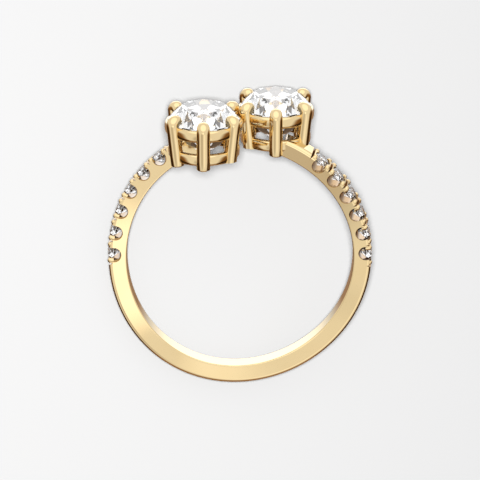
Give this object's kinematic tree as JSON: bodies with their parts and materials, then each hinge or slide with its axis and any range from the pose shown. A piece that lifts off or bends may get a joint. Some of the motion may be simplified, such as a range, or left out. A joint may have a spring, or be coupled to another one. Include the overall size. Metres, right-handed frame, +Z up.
{
  "type": "toi et moi ring",
  "caption": "Yellow gold toi et moi ring with twin oval brilliants in open six prong baskets and a slim pave set band.",
  "frame": {"origin": "centre of the finger hole, halfway along the width of the band", "axes": "+Z up from the surface that the ring lies on, its front facing up; +Y from the finger hole towards the two oval stones; +X towards the side of the far basket"},
  "size_m": [0.02, 0.0227, 0.0118],
  "materials": {
    "gold": "polished",
    "oval_diamond": "polished",
    "accent_diamond": "polished"
  },
  "bodies": {
    "root": {"gold_mount": "gold", "left_oval_stone": "oval_diamond", "right_oval_stone": "oval_diamond", "right_accent_1": "accent_diamond", "right_accent_2": "accent_diamond", "right_accent_3": "accent_diamond", "right_accent_4": "accent_diamond", "right_accent_5": "accent_diamond", "right_accent_6": "accent_diamond", "left_accent_1": "accent_diamond", "left_accent_2": "accent_diamond", "left_accent_3": "accent_diamond", "left_accent_4": "accent_diamond", "left_accent_5": "accent_diamond", "left_accent_6": "accent_diamond"}
  },
  "joints": []
}
